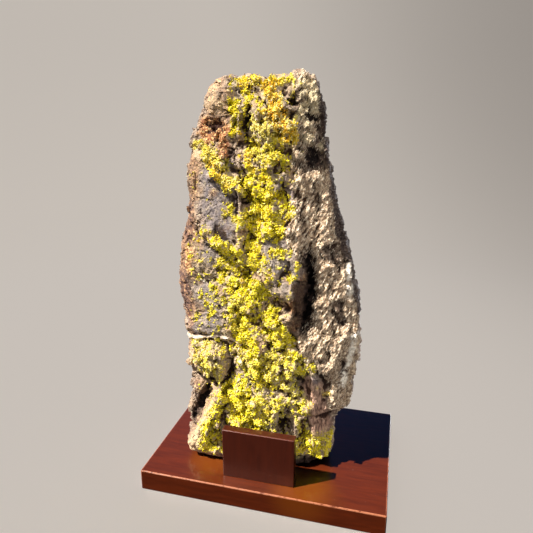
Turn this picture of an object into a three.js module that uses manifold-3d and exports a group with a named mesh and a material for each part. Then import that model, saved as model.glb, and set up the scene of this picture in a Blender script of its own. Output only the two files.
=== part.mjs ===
// A pyromorphite specimen on a wooden display stand, in millimetres, +Z up.
// A tall slab of rock, its front crusted with hexagonal pyromorphite crystals, stands on end on a
// lacquered board behind a small upright plate. The front looks along -Y, and the origin is the
// middle of the board's underside. Inside the specimen's own group, y is measured back from the
// board's front edge and z up from the board's top, so that the rock's numbers read like a survey.
import * as THREE from 'three';
import { ImprovedNoise } from 'three/addons/math/ImprovedNoise.js';
import { mergeVertices } from 'three/addons/utils/BufferGeometryUtils.js';
import Module from 'manifold-3d';

// ---------- driving dimensions ----------

const BOARD = { width: 210, depth: 145, height: 19, chamfer: 2 };
const PLATE = { width: 62, depth: 8, height: 45, easing: 0.8, centreX: -2, setback: 12.5 };

// The rock's outline as seen from the front: [height, place] pairs, joined by straight lines.
const LEFT_EDGE = [
  [0, -74], [10, -79], [30, -79], [44, -77], [56, -74], [74, -73], [95, -77], [118, -75], [132, -79],
  [165, -83], [187, -81], [206, -77], [228, -71], [262, -71], [276, -67], [288, -60], [302, -57],
  [326, -52],
];
const RIGHT_EDGE = [
  [0, 47], [10, 51], [48, 54], [56, 65], [63, 70], [90, 70], [120, 72], [150, 70], [172, 65], [190, 61],
  [212, 56], [235, 50], [257, 45], [280, 40], [300, 37], [316, 34], [326, 30],
];
// How far back the rock's foremost and rearmost faces lie, by height.
const FRONT_FACE = [
  [0, 33], [10, 31], [30, 32], [60, 34], [120, 35], [200, 37], [280, 42], [310, 46], [326, 50],
];
const BACK_FACE = [[0, 94], [20, 100], [100, 103], [180, 99], [260, 91], [300, 85], [326, 78]];
// How much higher or lower the broken top is than its nominal height, across the rock.
const TOP_LINE = [
  [-54, -9], [-44, -2], [-36, 0], [-26, -3], [-2, -3], [8, -1], [20, 3], [28, 0], [38, -9],
];
const NOMINAL_TOP = 325;
const TOP_ZONE = 40; // the stretch below the top that follows the broken top line
const TOP_DOME = 3; // how much the middle of the top rises over its rim
const FOOT_ZONE = 6; // the stretch above the board where the broken relief dies out
const CORE_DEPTH = 70; // how far back the rock's middle lies

// One horizontal slice, as shares of the width (from the left) and of the depth (from the front),
// counter-clockwise from the right side. The front has most of the points, so it gets most faces.
const SLICE = [
  [1.0, 0.44], [0.98, 0.68], [0.9, 0.95], [0.68, 1.0], [0.4, 0.96], [0.14, 0.98], [0.02, 0.74],
  [0.0, 0.38], [0.02, 0.2], [0.06, 0.09], [0.12, 0.03], [0.2, 0.0], [0.29, 0.01], [0.38, 0.0],
  [0.47, 0.01], [0.56, 0.0], [0.65, 0.01], [0.74, 0.05], [0.83, 0.14], [0.92, 0.26],
];

// ---------- the broken relief of the front, as x and z on the rock ----------

// Cracks and hollows with a long axis, top end first: how far each side they reach, and how deep they
// go. An undercut one reaches that share less far to the right, so its right wall is the steeper.
const GROOVES = [
  { from: [31, 194], to: [35, 168], reach: 9, depth: 15, undercut: 0.5 }, // the black crevice, upper part
  { from: [34, 170], to: [31, 131], reach: 13, depth: 20, undercut: 0.6 }, // and its lower part
  { from: [23, 314], to: [16, 302], reach: 6, depth: 9 }, // slanting notch under the right-hand peak
  { from: [-18, 250], to: [-16, 190], reach: 6, depth: 5 }, // trough beside the grey slab
  { from: [-66, 74], to: [-50, 74], reach: 7, depth: 12 }, // notch above the foot, left
  { from: [-31, 98], to: [-38, 72], reach: 8, depth: 11 }, // wedge-shaped cavity
  { from: [-55, 62], to: [-72, 30], reach: 11, depth: 16 }, // recess behind the left foot
  { from: [15, 58], to: [14, 38], reach: 7, depth: 10 }, // cavity over the plate
  { from: [28, 90], to: [30, 34], reach: 6, depth: 6 }, // edge of the purple slab
  { from: [-72, 111], to: [-46, 117], reach: 4, depth: 3 }, // fracture that holds the white vein
  { from: [-46, 117], to: [-28, 114], reach: 4, depth: 3 },
  { from: [-17, 302], to: [-20, 288], reach: 5, depth: 7 }, // slit in the upper left
  { from: [50, 212], to: [50, 178], reach: 7, depth: 6 }, // slanting breaks of the right-hand side
  { from: [62, 146], to: [52, 132], reach: 7, depth: 7 },
  { from: [68, 112], to: [44, 84], reach: 7, depth: 5 },
];
const HOLLOWS = [
  { at: [33, 266], reach: [14, 16], depth: 13 },
  { at: [36, 289], reach: [9, 9], depth: 9 },
  { at: [-46, 287], reach: [15, 14], depth: 8 },
  { at: [6, 116], reach: [9, 7], depth: 6 },
  { at: [46, 68], reach: [18, 24], depth: 6 },
];
const RIDGES = [
  { from: [-42, 70], to: [-72, 8], reach: 14, height: 10 }, // the slanting left foot
  { from: [-50, 206], to: [-16, 184], reach: 8, height: 6 }, // slanting rib under the grey slab
  { from: [58, 152], to: [57, 98], reach: 19, height: 9 }, // the right-hand shoulder
  { from: [42, 250], to: [54, 172], reach: 12, height: 6 },
  { from: [-10, 300], to: [-2, 275], reach: 9, height: 5 },
  { from: [44, 36], to: [42, 6], reach: 14, height: 7 }, // the right foot
];
const BULGES = [
  { at: [-43, 312], reach: [14, 14], height: 6 },
  { at: [24, 314], reach: [14, 13], height: 6 },
  { at: [-8, 58], reach: [30, 34], height: 5 },
  { at: [-2, 152], reach: [24, 34], height: 5 },
  { at: [-58, 96], reach: [22, 18], height: 5 },
  { at: [4, 110], reach: [24, 18], height: 4 },
];
// Raised slabs with broken, steep edges, as corners that run counter-clockwise.
const SLABS = [
  { corners: [[-90, 206], [-48, 204], [-20, 186], [-21, 246], [-60, 268], [-90, 262]], height: 4 },
  { corners: [[-90, 120], [-30, 116], [-22, 150], [-26, 178], [-52, 198], [-90, 196]], height: 3 },
  { corners: [[-3, 170], [22, 158], [25, 205], [19, 240], [-4, 232]], height: 3 },
  { corners: [[27, 32], [52, 28], [56, 80], [30, 90]], height: 4 },
];
const SLAB_EDGE = { front: 4, back: 10 };
// The same on the broken back, still as x and z from the front.
const BACK_SLABS = [
  { corners: [[-95, 150], [-10, 176], [30, 250], [-20, 340], [-95, 340]], height: 6 },
  { corners: [[-60, 14], [34, 8], [64, 92], [8, 128], [-50, 96]], height: 5 },
  { corners: [[24, 120], [80, 104], [80, 214], [40, 226]], height: -7 },
];

// Unevenness all over: long swells, lumps, and flat broken facets. Each facet lies round its own
// scattered centre, a little tilted and shifted.
const SWELL = { length: 48, height: 3 };
const LUMP = { length: 18, height: 2.4 };
const FACET = { spacing: 32, jitter: 0.8, tilt: 0.24, shift: 3, fade: 1.2 };

// The front is calmer than the broken back, and the sides and the top keep to their outlines.
const FRONT_CALM = 0.4;
const SIDE_ROUGHNESS = 0.4;
const TOP_ROUGHNESS = 0.4;
// The front relief fades out towards the sides, and the back ledges begin where the back does,
// as shares of the depth.
const FRONT_ENDS = 0.45;
const BACK_BEGINS = [0.6, 0.85];

// ---------- pyromorphite: tufts of stout six-sided crystals ----------

// Each patch of crust: where it lies and how far it spreads.
const CRUST = [
  { at: [-45, 260], reach: [16, 10] },
  { at: [-28, 294], reach: [4, 12] },
  { at: [8, 290], reach: [10, 18] },
  { at: [-2, 267], reach: [16, 7] },
  { at: [-12, 240], reach: [8, 14] },
  { at: [0, 228], reach: [7, 22] },
  { at: [12, 212], reach: [4, 14] },
  { at: [-33, 196], reach: [13, 6] },
  { at: [-12, 190], reach: [8, 16] },
  { at: [-14, 163], reach: [14, 12] },
  { at: [-22, 134], reach: [9, 18] },
  { at: [8, 130], reach: [10, 14] },
  { at: [-12, 102], reach: [12, 16] },
  { at: [-54, 95], reach: [15, 12] },
  { at: [14, 92], reach: [14, 18] },
  { at: [-18, 56], reach: [18, 18] },
  { at: [30, 62], reach: [6, 10] },
  { at: [-50, 26], reach: [9, 18] },
  { at: [42, 21], reach: [11, 11] },
];
const AREA_PER_TUFT = 125;
const TUFT = { radius: [3, 5], length: [7, 11], sunk: 0.55, lean: 0.35 };
const CRYSTAL_SIDES = 6;
const CRYSTAL_TAPER = 0.86;
const GOLDEN_ANGLE = Math.PI * (3 - Math.sqrt(5));

// ---------- mesh densities ----------

const COLUMNS = 52;
const ROWS = 56;
const CAP_SHARE = { top: 0.09, bottom: 0.05 };
const GRID_JITTER = 0.32; // how far a mesh point strays from its row and column, in cells

// ---------- small helpers ----------

const noise = new ImprovedNoise();
const smooth = (t) => THREE.MathUtils.smoothstep(t, 0, 1);

// The value at a height or place on a line of [where, value] pairs.
function along(line, where) {
  const last = line.length - 1;
  if (where <= line[0][0]) return line[0][1];
  if (where >= line[last][0]) return line[last][1];
  const i = line.findIndex((pair) => pair[0] > where);
  const [[w0, v0], [w1, v1]] = [line[i - 1], line[i]];
  return THREE.MathUtils.lerp(v0, v1, (where - w0) / (w1 - w0));
}

// How far a place lies from a long shape's axis, as a share of the shape's reach there.
function shareOfReach(x, z, { from, to, reach, undercut = 0 }) {
  const start = new THREE.Vector2(...from);
  const axis = new THREE.Vector2(...to).sub(start);
  const apart = new THREE.Vector2(x, z).sub(start);
  const right = axis.cross(apart) > 0;
  const nearest = THREE.MathUtils.clamp(apart.dot(axis) / axis.lengthSq(), 0, 1);
  return apart.addScaledVector(axis, -nearest).length() / (right ? reach * (1 - undercut) : reach);
}

// How deep a point lies inside a convex outline: negative outside it.
function depthInside(x, z, corners) {
  const depths = corners.map(([x0, z0], i) => {
    const [x1, z1] = corners[(i + 1) % corners.length];
    return ((x1 - x0) * (z - z0) - (z1 - z0) * (x - x0)) / Math.hypot(x1 - x0, z1 - z0);
  });
  return Math.min(...depths);
}

function ellipseDistance(x, z, { at, reach }) {
  return Math.hypot((x - at[0]) / reach[0], (z - at[1]) / reach[1]);
}

// A repeatable scatter: the same number always gives the same value between 0 and 1.
const scatter = (n) => THREE.MathUtils.euclideanModulo(Math.sin(n * 12.9898) * 43758.5453, 1);
const eitherWay = (n) => 2 * scatter(n) - 1;
const pick = ([low, high], share) => THREE.MathUtils.lerp(low, high, share);

// ---------- the rock ----------

function slabHeight(x, z, slabs, edge) {
  const heights = slabs.map((s) => s.height * smooth(depthInside(x, z, s.corners) / edge + 0.5));
  return heights.reduce((sum, height) => sum + height, 0);
}

// How far the front stands proud of its plain slice at this place, in millimetres.
function relief(x, z) {
  let proud = 0;
  for (const g of GROOVES) proud -= g.depth * smooth(1 - shareOfReach(x, z, g));
  for (const h of HOLLOWS) proud -= h.depth * smooth(1 - ellipseDistance(x, z, h));
  for (const r of RIDGES) proud += r.height * smooth(1 - shareOfReach(x, z, r));
  for (const b of BULGES) proud += b.height * smooth(1.2 - ellipseDistance(x, z, b));
  return proud + slabHeight(x, z, SLABS, SLAB_EDGE.front);
}

// How far the broken facet at this place stands proud. The nearest of the scattered centres owns the
// place, and its neighbours fade in over a short distance, so the steps between facets stay closed.
function facet(here) {
  const { spacing, jitter, tilt, shift, fade } = FACET;
  const cell = here.clone().divideScalar(spacing).floor();
  let total = 0;
  let weights = 0;
  for (let k = 0; k < 27; k++) {
    const step = new THREE.Vector3((k % 3) - 1, (Math.floor(k / 3) % 3) - 1, Math.floor(k / 9) - 1);
    const corner = step.add(cell);
    const seed = corner.x * 7.31 + corner.y * 17.17 + corner.z * 29.73;
    const stray = new THREE.Vector3(scatter(seed), scatter(seed + 0.1), scatter(seed + 0.2));
    const centre = corner.addScaledVector(stray, jitter).multiplyScalar(spacing);
    const slope = stray.multiplyScalar(2).subScalar(1).multiplyScalar(tilt);
    const apart = here.clone().sub(centre);
    const weight = Math.exp(-apart.length() / fade);
    total += weight * (slope.dot(apart) + shift * eitherWay(seed + 0.3));
    weights += weight;
  }
  return total / weights;
}

function wave(here, { length, height }) {
  return height * noise.noise(here.x / length, here.y / length, here.z / length);
}

const sliceCurve = new THREE.CatmullRomCurve3(
  SLICE.map(([across, back]) => new THREE.Vector3(across, back, 0)), true, 'centripetal');

// A column of the ball as its turn round the slice, and a row as a height on the rock and the size of
// its slice there: the first rows spread over the flat top, and the last ones over the flat underside.
function cellOf(ball) {
  const column = Math.round((Math.atan2(ball.y, ball.x) / (2 * Math.PI)) * COLUMNS + COLUMNS) % COLUMNS;
  const row = Math.round((Math.acos(THREE.MathUtils.clamp(ball.z, -1, 1)) / Math.PI) * ROWS);
  const onSide = row / ROWS > CAP_SHARE.top && row / ROWS < 1 - 2 * CAP_SHARE.bottom;
  const jitter = onSide ? GRID_JITTER : 0;
  const seed = column + COLUMNS * row;
  return { column: column + jitter * eitherWay(seed + 0.5), row: row + jitter * eitherWay(seed) };
}

function heightAndScale(row) {
  const share = row / ROWS;
  const { top, bottom } = CAP_SHARE;
  if (share < top) return { height: NOMINAL_TOP, scale: Math.sin((share / top) * (Math.PI / 2)) };
  if (share > 1 - bottom) return { height: 0, scale: (1 - share) / bottom };
  return { height: NOMINAL_TOP * (1 - (share - top) / (1 - top - bottom)), scale: 1 };
}

// The plain, unbroken rock's surface at a column and row.
function plainPlace({ column, row }) {
  const { height, scale } = heightAndScale(row);
  const share = sliceCurve.getPoint(THREE.MathUtils.euclideanModulo(column / COLUMNS, 1));
  const across = 0.5 + (share.x - 0.5) * scale;
  const back = 0.5 + (share.y - 0.5) * scale;
  const at = new THREE.Vector3(
    THREE.MathUtils.lerp(along(LEFT_EDGE, height), along(RIGHT_EDGE, height), across),
    THREE.MathUtils.lerp(along(FRONT_FACE, height), along(BACK_FACE, height), back),
    height,
  );
  const frontness = smooth(1 - share.y / FRONT_ENDS) * scale;
  const backness = THREE.MathUtils.smoothstep(share.y, ...BACK_BEGINS) * scale;
  return { at, scale, frontness, backness };
}

// The broken surface: the plain one, made uneven, with the relief of the front and the back.
function brokenPlace({ at, scale, frontness, backness }) {
  const foot = smooth(at.z / FOOT_ZONE);
  const crown = smooth((at.z - NOMINAL_TOP + TOP_ZONE) / TOP_ZONE);
  const calm = foot * (1 - FRONT_CALM * frontness);
  const rough = calm * (wave(at, SWELL) + wave(at, LUMP) + facet(at));
  const outward = new THREE.Vector2(at.x, at.y - CORE_DEPTH).normalize();
  const rise = crown * (along(TOP_LINE, at.x) + TOP_DOME * (1 - scale) + TOP_ROUGHNESS * rough);
  const z = at.z + rise;
  const forward = foot * frontness * relief(at.x, z);
  const backward = foot * backness * slabHeight(at.x, z, BACK_SLABS, SLAB_EDGE.back);
  return new THREE.Vector3(
    at.x + outward.x * rough * SIDE_ROUGHNESS, at.y + outward.y * rough - forward + backward, z);
}

// A ball whose rows become the rock's heights and whose columns run round its slices.
function rockGeometry() {
  const geometry = new THREE.SphereGeometry(1, COLUMNS, ROWS).rotateX(Math.PI / 2);
  const position = geometry.attributes.position;
  for (let i = 0; i < position.count; i++) {
    const ball = new THREE.Vector3().fromBufferAttribute(position, i);
    position.setXYZ(i, ...brokenPlace(plainPlace(cellOf(ball))));
  }
  return geometry;
}

// ---------- solids and booleans ----------

const wasm = await Module();
wasm.setup();

function solidOf(geometry) {
  const bare = geometry.clone();
  for (const name of ['normal', 'uv']) bare.deleteAttribute(name);
  const merged = mergeVertices(bare, 1e-4);
  return new wasm.Manifold(new wasm.Mesh({
    numProp: 3,
    vertProperties: new Float32Array(merged.attributes.position.array),
    triVerts: new Uint32Array(merged.index.array),
  }));
}

function geometryOf(solid) {
  const mesh = solid.getMesh();
  const geometry = new THREE.BufferGeometry();
  geometry.setAttribute('position', new THREE.BufferAttribute(mesh.vertProperties, mesh.numProp));
  geometry.setIndex(new THREE.BufferAttribute(mesh.triVerts, 1));
  geometry.computeVertexNormals();
  return geometry;
}

// One stout crystal of a tuft: a six-sided prism, its middle at the origin, pointing along +Z.
function crystalGeometry(radius, length) {
  const prism = new THREE.CylinderGeometry(radius * CRYSTAL_TAPER, radius, length, CRYSTAL_SIDES);
  return prism.rotateX(Math.PI / 2);
}

// Where the crystals of a patch of crust stand, seen from the front: a sunflower's spiral.
function crustPlaces({ at, reach }) {
  const count = Math.round((Math.PI * reach[0] * reach[1]) / AREA_PER_TUFT);
  return Array.from({ length: count }, (_, i) => {
    const spread = Math.sqrt((i + 0.5) / count);
    const angle = i * GOLDEN_ANGLE;
    return [at[0] + reach[0] * spread * Math.cos(angle), at[1] + reach[1] * spread * Math.sin(angle)];
  });
}

// A crystal rooted where the front of the rock is hit, leaning a little out of the rock's own normal.
function rootedCrystal(hit, seed) {
  const length = pick(TUFT.length, scatter(seed + 0.3));
  const lean = new THREE.Vector3(eitherWay(seed + 0.5), 0, eitherWay(seed + 0.7));
  const growth = hit.face.normal.clone().addScaledVector(lean, TUFT.lean).normalize();
  const turn = new THREE.Quaternion().setFromUnitVectors(new THREE.Vector3(0, 0, 1), growth);
  const middle = hit.point.clone().addScaledVector(growth, length * (0.5 - TUFT.sunk));
  const crystal = crystalGeometry(pick(TUFT.radius, scatter(seed)), length).applyQuaternion(turn);
  return crystal.translate(...middle);
}

// The rock with its tufts of crystals grown out of the front.
function specimenGeometry() {
  let solid = solidOf(rockGeometry());
  const bareRock = new THREE.Mesh(geometryOf(solid));
  const ray = new THREE.Raycaster();
  const towardsBack = new THREE.Vector3(0, 1, 0);
  CRUST.flatMap(crustPlaces).forEach(([x, z], seed) => {
    ray.set(new THREE.Vector3(x, 0, z), towardsBack);
    const [hit] = ray.intersectObject(bareRock);
    if (hit) solid = solid.add(solidOf(rootedCrystal(hit, seed + 1)));
  });
  return geometryOf(solid);
}

// ---------- the wooden stand ----------

// A block with eased edges all round, standing on z = 0 with its middle over the origin.
function easedBlock(width, depth, height, easing) {
  const halfX = width / 2 - easing;
  const halfY = depth / 2 - easing;
  const outline = new THREE.Shape([
    new THREE.Vector2(-halfX, -halfY), new THREE.Vector2(halfX, -halfY),
    new THREE.Vector2(halfX, halfY), new THREE.Vector2(-halfX, halfY),
  ]);
  const block = new THREE.ExtrudeGeometry(outline, {
    depth: height - 2 * easing,
    bevelThickness: easing,
    bevelSize: easing,
    bevelSegments: 1,
  });
  return block.translate(0, 0, easing);
}

// ---------- materials and assembly ----------

const stainedWood = new THREE.MeshStandardMaterial({ color: 0x6b2a17, roughness: 0.3, metalness: 0 });
const darkWood = new THREE.MeshStandardMaterial({ color: 0x3f1711, roughness: 0.35, metalness: 0 });
const rockAndCrystals = new THREE.MeshStandardMaterial({ color: 0xa38f5a, roughness: 0.85, metalness: 0 });

function named(name, geometry, material) {
  const mesh = new THREE.Mesh(geometry, material);
  mesh.name = name;
  return mesh;
}

const boardBlock = easedBlock(BOARD.width, BOARD.depth, BOARD.height, BOARD.chamfer);
const board = named('base_board', boardBlock, stainedWood);

const onBoard = new THREE.Group();
onBoard.position.set(0, -BOARD.depth / 2, BOARD.height);

const plateBlock = easedBlock(PLATE.width, PLATE.depth, PLATE.height, PLATE.easing);
const plate = named('front_plate', plateBlock, darkWood);
plate.position.set(PLATE.centreX, PLATE.setback + PLATE.depth / 2, 0);
onBoard.add(plate, named('specimen', specimenGeometry(), rockAndCrystals));

const part = new THREE.Group();
part.add(board, onBoard);

export default part;
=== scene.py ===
# %% [markdown]
# # Pyromorphite on its stand
# A slab of vein rock stands on a lacquered board, behind a small plain plate of wood.
# Its face is a crust of pyromorphite: six-sided barrels a millimetre or two long, so many and so
# small that they read as yellow sugar from a step away.
# The solids give the sizes and the large forms, and this lesson dresses them: first the light,
# then the rock, then what grows on it, and last the woodwork.

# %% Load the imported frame
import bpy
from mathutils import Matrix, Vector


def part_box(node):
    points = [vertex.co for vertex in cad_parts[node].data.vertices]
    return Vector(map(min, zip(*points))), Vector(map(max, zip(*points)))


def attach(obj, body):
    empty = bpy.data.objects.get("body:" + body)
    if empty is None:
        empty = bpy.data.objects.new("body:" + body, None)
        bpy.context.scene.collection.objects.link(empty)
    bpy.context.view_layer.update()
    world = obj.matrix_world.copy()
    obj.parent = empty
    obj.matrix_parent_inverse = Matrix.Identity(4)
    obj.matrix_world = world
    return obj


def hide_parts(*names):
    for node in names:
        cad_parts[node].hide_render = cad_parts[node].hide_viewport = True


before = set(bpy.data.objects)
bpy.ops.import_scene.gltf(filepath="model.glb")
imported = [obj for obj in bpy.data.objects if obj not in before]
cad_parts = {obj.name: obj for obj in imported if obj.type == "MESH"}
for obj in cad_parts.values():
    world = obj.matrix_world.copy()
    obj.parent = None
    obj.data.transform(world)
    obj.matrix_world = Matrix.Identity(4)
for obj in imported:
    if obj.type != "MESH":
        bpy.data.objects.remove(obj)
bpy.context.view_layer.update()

# %% Modules and the unit of length
import math

import bmesh
import bpy
import numpy as np
from mathutils import Vector, noise

MM = 0.001
scene = bpy.context.scene

# %% [markdown]
# ## Camera
# A visitor at a mineral show bends over the table, close to the specimen, so the board's near corner
# looks large. The camera stands there: a short lens, a little to the right and looking down.

# %% Camera
CAMERA_PLACE = (94.4, -399.1, 311.3)
CAMERA_TURN = (90 - 16.248, 0, 14.665)
CAMERA_LENS = 33.53

camera_data = bpy.data.cameras.new("camera")
camera_data.lens = CAMERA_LENS
camera = bpy.data.objects.new("camera", camera_data)
camera.location = Vector(CAMERA_PLACE) * MM
camera.rotation_euler = [math.radians(turn) for turn in CAMERA_TURN]
scene.collection.objects.link(camera)
scene.camera = camera
print("camera stands", round(camera.location.length, 3), "m from the board's middle")

# %% [markdown]
# ## Colours
# Paint is easiest to name as the numbers a screen shows, but a shader wants linear light.
# This helper turns one into the other. Colours are shown without a film look, because a film look
# would wash out the crystals' yellow.

# %% Paint
def paint(red, green, blue):
    """A screen colour, 0 to 255 a channel, as the linear RGBA that a shader takes."""
    shares = [channel / 255 for channel in (red, green, blue)]
    linear = [s / 12.92 if s <= 0.04045 else ((s + 0.055) / 1.055) ** 2.4 for s in shares]
    return (*linear, 1.0)


scene.view_settings.view_transform = "Standard"

# %% [markdown]
# ## Node graphs
# Materials and the growing of crystals are node trees. In full, each node takes four lines, so one
# small class adds a node, sets or links its inputs, and gives back an output.

# %% Node graphs
class Graph:
    """A node tree that is written as nested calls."""

    def __init__(self, tree):
        self.tree = tree

    def node(self, kind, inputs=None, out=0, **settings):
        """Adds a node. An input is named, or numbered where names repeat."""
        made = self.tree.nodes.new(kind)
        for name, value in settings.items():
            setattr(made, name, value)
        for name, value in (inputs or {}).items():
            if isinstance(value, bpy.types.NodeSocket):
                self.tree.links.new(value, made.inputs[name])
            else:
                made.inputs[name].default_value = value
        return made.outputs[out] if made.outputs else None

    def maths(self, operation, a, b=0.0, clamp=False):
        return self.node("ShaderNodeMath", {0: a, 1: b}, operation=operation, use_clamp=clamp)


class Finish(Graph):
    """A surface's material, with the patterns that stone and wood need, sized in millimetres."""

    def __init__(self, name):
        self.material = bpy.data.materials.new(name)
        self.material.use_nodes = True
        super().__init__(self.material.node_tree)
        self.shader = self.tree.nodes["Principled BSDF"]
        self.place = self.node("ShaderNodeTexCoord", out="Object")

    def grain(self, size, detail=2.0, stretch=None, out="Fac", **inputs):
        """Noise with lumps of that size. A stretch draws it out along an axis."""
        place = self.place
        if stretch:
            place = self.node("ShaderNodeMapping", {"Vector": place, "Scale": stretch})
        settings = {"Vector": place, "Scale": 1 / (size * MM), "Detail": detail, **inputs}
        return self.node("ShaderNodeTexNoise", settings, out=out)

    def step(self, value, low, high):
        """0 below low, 1 above high, and smooth between them."""
        inputs = {"Value": value, "From Min": low, "From Max": high}
        return self.node("ShaderNodeMapRange", inputs, interpolation_type="SMOOTHSTEP")

    def share(self, name, strength=1.0):
        """A share that the mesh keeps at each vertex, at that strength."""
        kept = self.node("ShaderNodeAttribute", out="Fac", attribute_name=name)
        return kept if strength == 1.0 else self.maths("MULTIPLY", kept, strength)

    def mix(self, share, a, b, blend="MIX"):
        """Colour a, with colour b over it, or multiplied into it, to that share."""
        inputs = {0: share, 6: a, 7: b}
        return self.node("ShaderNodeMix", inputs, out=2, data_type="RGBA", blend_type=blend)

    def shades(self, value, *stops):
        """A ramp of colours: each stop is a share and a screen colour's three numbers."""
        output = self.node("ShaderNodeValToRGB", {"Fac": value})
        ramp = output.node.color_ramp
        while len(ramp.elements) < len(stops):
            ramp.elements.new(0.5)
        for element, (share, *channels) in zip(ramp.elements, stops):
            element.position = share
            element.color = paint(*channels)
        return output

    def bump(self, height, depth, under=None):
        """Relief finer than the mesh: its depth is in millimetres."""
        inputs = {"Height": height, "Distance": depth * MM, "Strength": 1.0}
        if under:
            inputs["Normal"] = under
        return self.node("ShaderNodeBump", inputs)

    def finish(self, **inputs):
        """Sets or links the shader's own sockets and gives the material."""
        for name, value in inputs.items():
            socket = self.shader.inputs[name.replace("_", " ")]
            if isinstance(value, bpy.types.NodeSocket):
                self.tree.links.new(value, socket)
            else:
                socket.default_value = value
        print("finish", self.material.name, "has", len(self.tree.nodes), "nodes")
        return self.material


# %% [markdown]
# ## Backdrop
# The object is seen from all sides, so its backdrop is a shallow bowl: a flat floor that curves up
# all round, with no corner or horizon in any view.
# It glows by itself, a warm grey with painted shade that deepens to the right, so its tone is not left
# to the lamps.

# %% Backdrop
FLOOR_RADIUS = 0.75
BOWL_CURVE = 0.55
WALL_TOP = 1.0
FLOOR_DROP = 0.1 * MM
CURVE_STEPS = 14
SPIN_STEPS = 96
PAINTED_SHADE_TOWARD = (0.75, 0.35, 0.15)
BACKDROP_GLOW = 0.9


def bowl():
    bm = bmesh.new()
    heights = [(0.0, 0.0), (FLOOR_RADIUS, 0.0)]
    for step in range(1, CURVE_STEPS + 1):
        turn = math.radians(90 * step / CURVE_STEPS)
        reach = FLOOR_RADIUS + BOWL_CURVE * math.sin(turn)
        heights.append((reach, BOWL_CURVE * (1 - math.cos(turn))))
    heights.append((FLOOR_RADIUS + BOWL_CURVE, WALL_TOP))
    ring = [bm.verts.new((reach, 0, height - FLOOR_DROP)) for reach, height in heights]
    profile = [bm.edges.new(pair) for pair in zip(ring, ring[1:])]
    bmesh.ops.spin(bm, geom=ring + profile, cent=(0, 0, 0), axis=(0, 0, 1),
                   angle=math.tau, steps=SPIN_STEPS, use_merge=True)
    bmesh.ops.remove_doubles(bm, verts=bm.verts, dist=1e-5)
    bmesh.ops.recalc_face_normals(bm, faces=bm.faces)
    bmesh.ops.reverse_faces(bm, faces=bm.faces)
    return bm


def piece_of(bm, name, material=None, smooth=False):
    """A new object of that bmesh, at the origin, in the scene."""
    mesh = bpy.data.meshes.new(name)
    bm.to_mesh(mesh)
    bm.free()
    if smooth:
        mesh.shade_smooth()
    if material:
        mesh.materials.append(material)
    piece = bpy.data.objects.new(name, mesh)
    scene.collection.objects.link(piece)
    return piece


def backdrop_finish():
    f = Finish("backdrop")
    rightward = f.node("ShaderNodeVectorMath", {0: f.place, 1: PAINTED_SHADE_TOWARD}, out="Value",
                       operation="DOT_PRODUCT")
    # Painted shade: the backdrop's colour darkens to the right, as if less light fell there.
    colour = f.mix(f.step(rightward, 0.1, 1.0), paint(199, 191, 182), paint(152, 145, 138))
    return f.finish(Base_Color=colour, Roughness=1.0, Specular_IOR_Level=0.0, Emission_Color=colour,
                    Emission_Strength=BACKDROP_GLOW)


backdrop = piece_of(bowl(), "backdrop", backdrop_finish(), smooth=True)
print("backdrop has", len(backdrop.data.polygons), "faces")

# %% [markdown]
# ## Light
# Crystals need a small bright source, which puts a glint on each flat face and a dark gap beside it.
# A sun lamp from the upper left front does that. Cards fill the shade: one from the right front and
# a cool one from high behind, both for the rock alone, and one from low behind that shines through
# the backdrop. Light linking gives each lamp its own pieces, and the studio lamp the backdrop alone.
# The sky is dark but for a blue glow low behind, which tints the board's shadow as open shade does.

# %% Light
SKY_COLOUR = (0.2, 0.38, 1.0, 1.0)
SKY_DARK = 0.01
SKY_BEHIND = 0.26
SKY_GLOWS_TOWARD = (-0.3, 1.0, -0.3)
SKY_GLOW_EDGES = (0.4, 0.9)


def light_for(name, travels, strength, spread, colour, past_backdrop=False):
    """A distant lamp that lights one set of pieces alone. Gives the set, to link the pieces to.
    Its light travels along a direction, and its spread in degrees sets how soft its shadows are."""
    data = bpy.data.lights.new(name, "SUN")
    data.energy = strength
    data.angle = math.radians(spread)
    data.color = colour
    made = bpy.data.objects.new(name, data)
    made.rotation_mode = "QUATERNION"
    made.rotation_quaternion = Vector(travels).to_track_quat("-Z", "Y")
    scene.collection.objects.link(made)
    lit = bpy.data.collections.new(name + "_lit")
    made.light_linking.receiver_collection = lit
    made.light_linking.blocker_collection = lit if past_backdrop else None
    return lit


sunlit = light_for("sun", (0.55, 0.33, -0.76), strength=9.8, spread=0.8, colour=(1.0, 0.955, 0.88))
cardlit = light_for("card", (-0.6, 0.7, -0.4), strength=1.9, spread=110, colour=(1.0, 0.97, 0.93))
backlit = light_for("back_card", (-0.35, -0.91, 0.24), strength=2.2, spread=25,
                    colour=(0.97, 0.97, 1.0), past_backdrop=True)
highlit = light_for("high_card", (-0.25, -0.6, -0.76), strength=1.5, spread=70,
                    colour=(0.9, 0.94, 1.0))
studiolit = light_for("studio", (0.3, 0.4, -0.87), strength=0.38, spread=100,
                      colour=(1.0, 0.97, 0.94))
studiolit.objects.link(backdrop)
backdrop.visible_diffuse = False
backdrop.visible_glossy = False

world = bpy.data.worlds.new("studio")
world.use_nodes = True
sky = Graph(world.node_tree)
toward = sky.node("ShaderNodeVectorMath", {0: sky.node("ShaderNodeTexCoord"), 1: SKY_GLOWS_TOWARD},
                  out="Value", operation="DOT_PRODUCT")
brightness = {"Value": toward, "From Min": SKY_GLOW_EDGES[0], "From Max": SKY_GLOW_EDGES[1],
              "To Min": SKY_DARK, "To Max": SKY_BEHIND}
background = world.node_tree.nodes["Background"]
background.inputs["Color"].default_value = SKY_COLOUR
sky.tree.links.new(sky.node("ShaderNodeMapRange", brightness), background.inputs["Strength"])
scene.world = world
print("five lamps, and a sky from", SKY_DARK, "to", SKY_BEHIND)

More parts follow.
